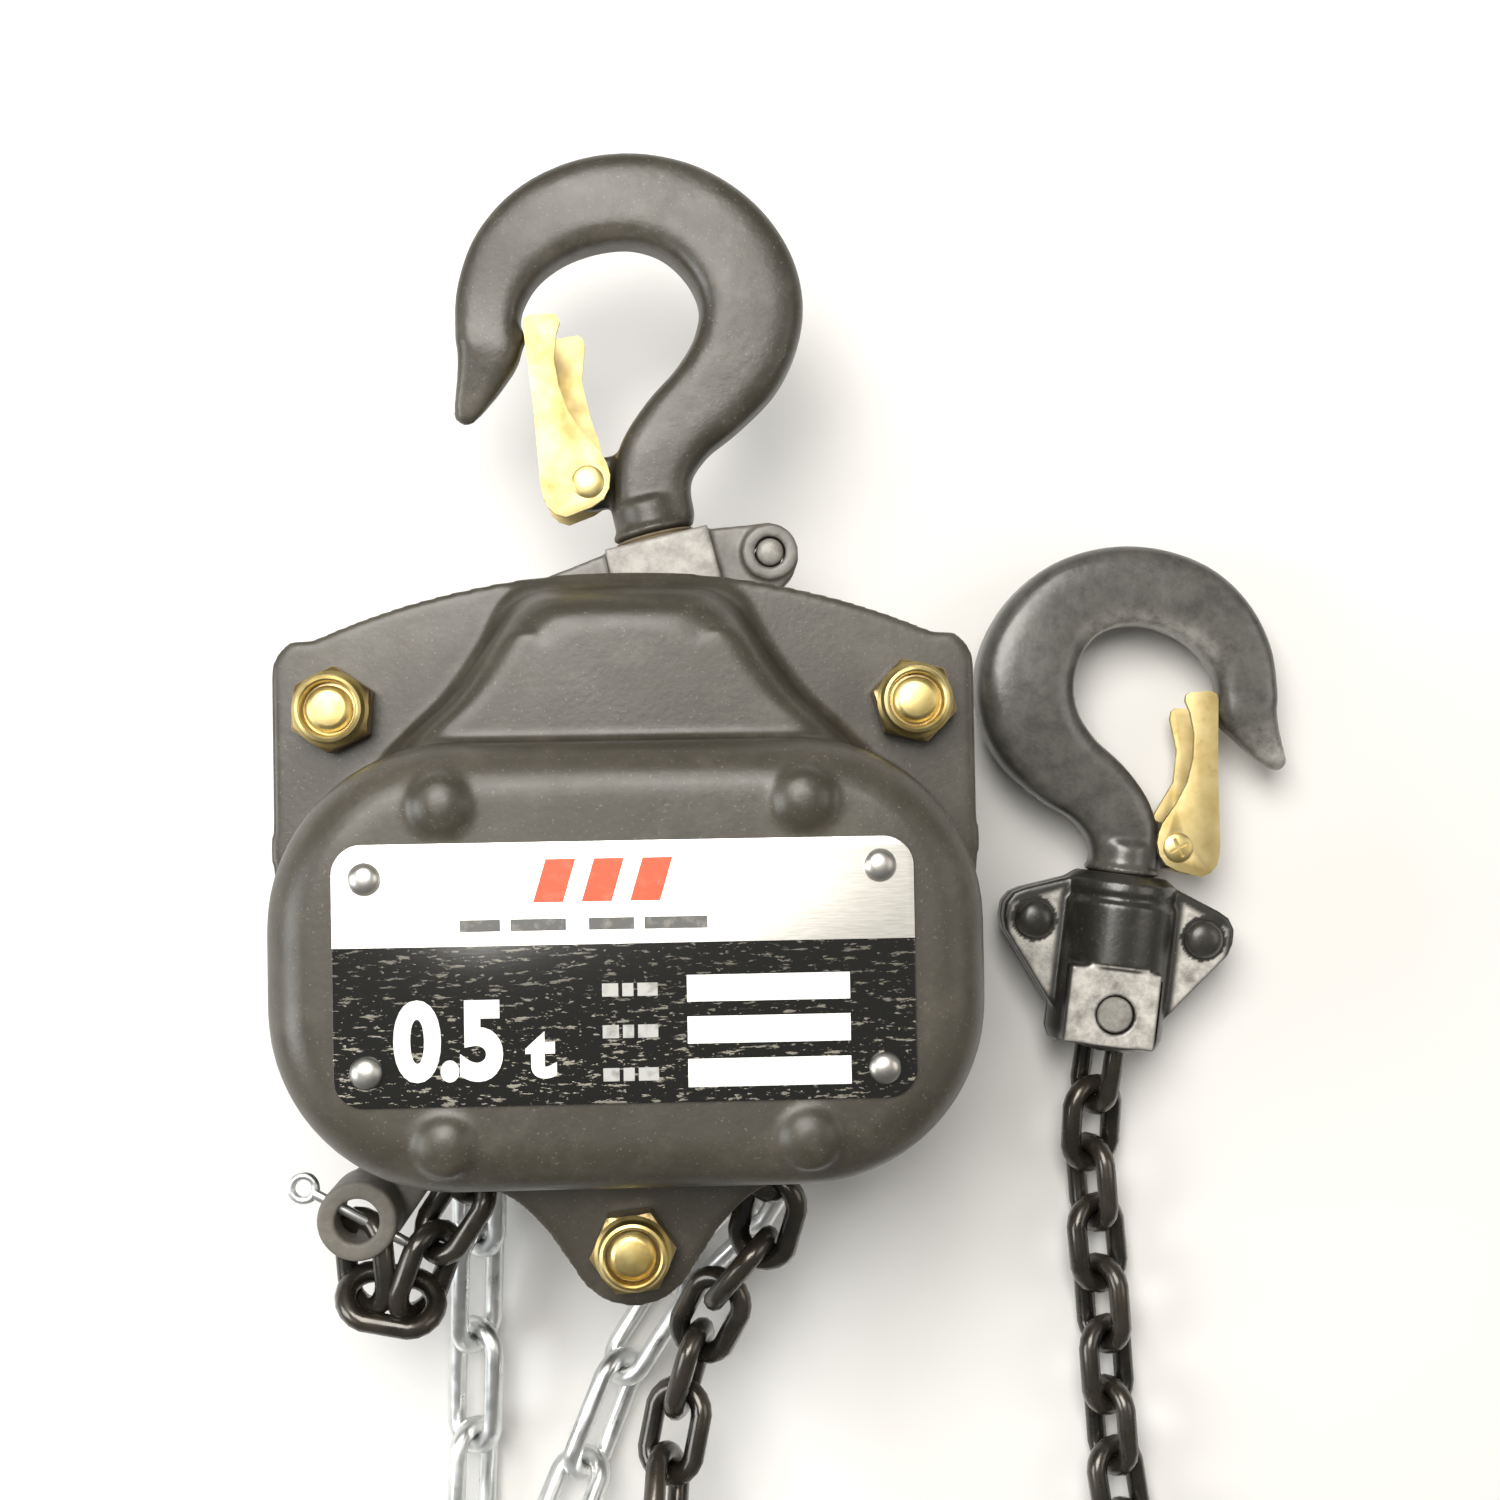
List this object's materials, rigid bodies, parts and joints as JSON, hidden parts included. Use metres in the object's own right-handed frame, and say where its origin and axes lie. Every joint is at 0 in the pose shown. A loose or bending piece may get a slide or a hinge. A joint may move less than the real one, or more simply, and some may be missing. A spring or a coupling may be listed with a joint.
{
  "type": "chain hoist",
  "caption": "Hand chain hoist with gear and hand-wheel covers, latched swivel hooks, a load chain and an endless hand chain, laid on its back.",
  "frame": {"origin": "on the drive-shaft axis, on the flat back of the hand-wheel cover that it lies on", "axes": "+Z out of the gear cover and name plate, +Y towards the top hook, +X towards the load hook block"},
  "size_m": [0.2366, 0.5529, 0.1119],
  "materials": {
    "cover_paint": "satin dark olive-grey paint",
    "hook_paint": "satin black paint over forged steel",
    "zinc_yellow": "yellow passivated zinc plate on steel",
    "zinc_bright": "bright zinc plate on steel",
    "chain_black": "oiled black oxide",
    "plate_aluminium": "brushed and printed",
    "steel": "machined",
    "friction_lining": "matt lining"
  },
  "bodies": {
    "root": {"gear_cover": "cover_paint", "name_plate": "plate_aluminium", "gear_side_plate": "cover_paint", "wheel_side_plate": "cover_paint", "wheel_cover": "cover_paint", "ratchet_disc": "steel", "chain_stripper": "steel", "tail_anchor": "hook_paint", "split_pin": "zinc_bright", "suspension_pin": "steel", "sheave_bearing_front": "steel", "sheave_bearing_back": "steel", "hand_chain_wrap": "zinc_bright", "load_chain_wrap": "chain_black", "hand_chain_left": "zinc_bright", "hand_chain_right": "zinc_bright", "load_chain_run": "chain_black", "load_chain_lead": "chain_black", "hand_chain_coil": "zinc_bright", "load_chain_coil": "chain_black", "plate_rivet_1": "plate_aluminium", "plate_rivet_2": "plate_aluminium", "plate_rivet_3": "plate_aluminium", "plate_rivet_4": "plate_aluminium", "stay_bolt_1": "zinc_yellow", "lock_nut_1": "zinc_yellow", "stay_bolt_2": "zinc_yellow", "lock_nut_2": "zinc_yellow", "stay_bolt_3": "zinc_yellow", "lock_nut_3": "zinc_yellow"},
    "top_yoke": {"top_yoke_front": "hook_paint", "top_yoke_back": "hook_paint", "yoke_rivet_left": "hook_paint", "yoke_rivet_right": "hook_paint"},
    "top_hook": {"top_hook": "hook_paint", "top_latch_pin": "zinc_yellow"},
    "top_latch": {"top_latch": "zinc_yellow", "top_latch_spring": "steel"},
    "load_block": {"load_block_front": "hook_paint", "load_block_back": "hook_paint", "block_rivet_left": "chain_black", "block_rivet_right": "chain_black", "load_pin": "hook_paint"},
    "load_hook": {"load_hook": "hook_paint", "load_latch_pin": "zinc_yellow"},
    "load_latch": {"load_latch": "zinc_yellow", "load_latch_spring": "steel"},
    "hand_wheel": {"hand_wheel": "steel", "drive_shaft": "steel", "disc_hub": "steel", "friction_disc_inner": "friction_lining", "friction_disc_outer": "friction_lining", "shaft_nut": "zinc_bright"},
    "disc_gear_left": {"disc_gear_left": "steel"},
    "disc_gear_right": {"disc_gear_right": "steel"},
    "load_sheave": {"load_sheave": "steel", "load_gear": "steel"},
    "guide_roller_left": {"guide_roller_left": "steel"},
    "guide_roller_right": {"guide_roller_right": "steel"},
    "pawl": {"pawl": "steel"}
  },
  "joints": [
    {"name": "top_yoke_swing", "type": "hinge", "parent": "root", "child": "top_yoke", "pos_m": [0.013, 0.066, 0.0596], "axis": [0, 0, 1], "range_deg": [-38, 12]},
    {"name": "top_hook_swivel", "type": "hinge", "parent": "top_yoke", "child": "top_hook", "pos_m": [0.00625, 0.09523, 0.0596], "axis": [-0.225, 0.9744, 0], "continuous": true},
    {"name": "top_latch_open", "type": "hinge", "parent": "top_hook", "child": "top_latch", "pos_m": [-0.00756, 0.10395, 0.0596], "axis": [0, 0, -1], "range_deg": [0, 32], "stiffness_Nm_per_rad": 0.05, "springref_deg": -17.19},
    {"name": "load_block_swing", "type": "hinge", "parent": "root", "child": "load_block", "pos_m": [0.1147, -0.0197, 0.0148], "axis": [0, 0, 1], "range_deg": [-8, 8]},
    {"name": "load_hook_swivel", "type": "hinge", "parent": "load_block", "child": "load_hook", "pos_m": [0.11887, 0.01001, 0.0148], "axis": [0.1392, 0.9903, 0], "continuous": true},
    {"name": "load_latch_open", "type": "hinge", "parent": "load_hook", "child": "load_latch", "pos_m": [0.13188, 0.01989, 0.0148], "axis": [0, 0, 1], "range_deg": [0, 32], "stiffness_Nm_per_rad": 0.05, "springref_deg": -17.19},
    {"name": "hand_wheel_spin", "type": "hinge", "parent": "root", "child": "hand_wheel", "pos_m": [0, 0, 0.021], "axis": [0, 0, 1], "continuous": true},
    {"name": "disc_gear_left_spin", "type": "hinge", "parent": "root", "child": "disc_gear_left", "pos_m": [-0.036, 0, 0.09], "axis": [0, 0, 1], "continuous": true},
    {"name": "disc_gear_right_spin", "type": "hinge", "parent": "root", "child": "disc_gear_right", "pos_m": [0.036, 0, 0.09], "axis": [0, 0, 1], "continuous": true},
    {"name": "load_sheave_spin", "type": "hinge", "parent": "root", "child": "load_sheave", "pos_m": [0, 0, 0.0596], "axis": [0, 0, 1], "continuous": true},
    {"name": "guide_roller_left_spin", "type": "hinge", "parent": "root", "child": "guide_roller_left", "pos_m": [-0.04, -0.02, 0.0596], "axis": [0, 0, 1], "continuous": true},
    {"name": "guide_roller_right_spin", "type": "hinge", "parent": "root", "child": "guide_roller_right", "pos_m": [0.04, -0.02, 0.0596], "axis": [0, 0, 1], "continuous": true},
    {"name": "pawl_lift", "type": "hinge", "parent": "root", "child": "pawl", "pos_m": [0.0192, 0.0362, 0.0346], "axis": [0, 0, -1], "range_deg": [0, 12], "stiffness_Nm_per_rad": 0.01, "springref_deg": -11.46}
  ],
  "couplings": [
    {"joint": "disc_gear_left_spin", "follows": "hand_wheel_spin", "ratio": -0.26316},
    {"joint": "disc_gear_right_spin", "follows": "hand_wheel_spin", "ratio": -0.26316},
    {"joint": "load_sheave_spin", "follows": "hand_wheel_spin", "ratio": 0.087719}
  ]
}
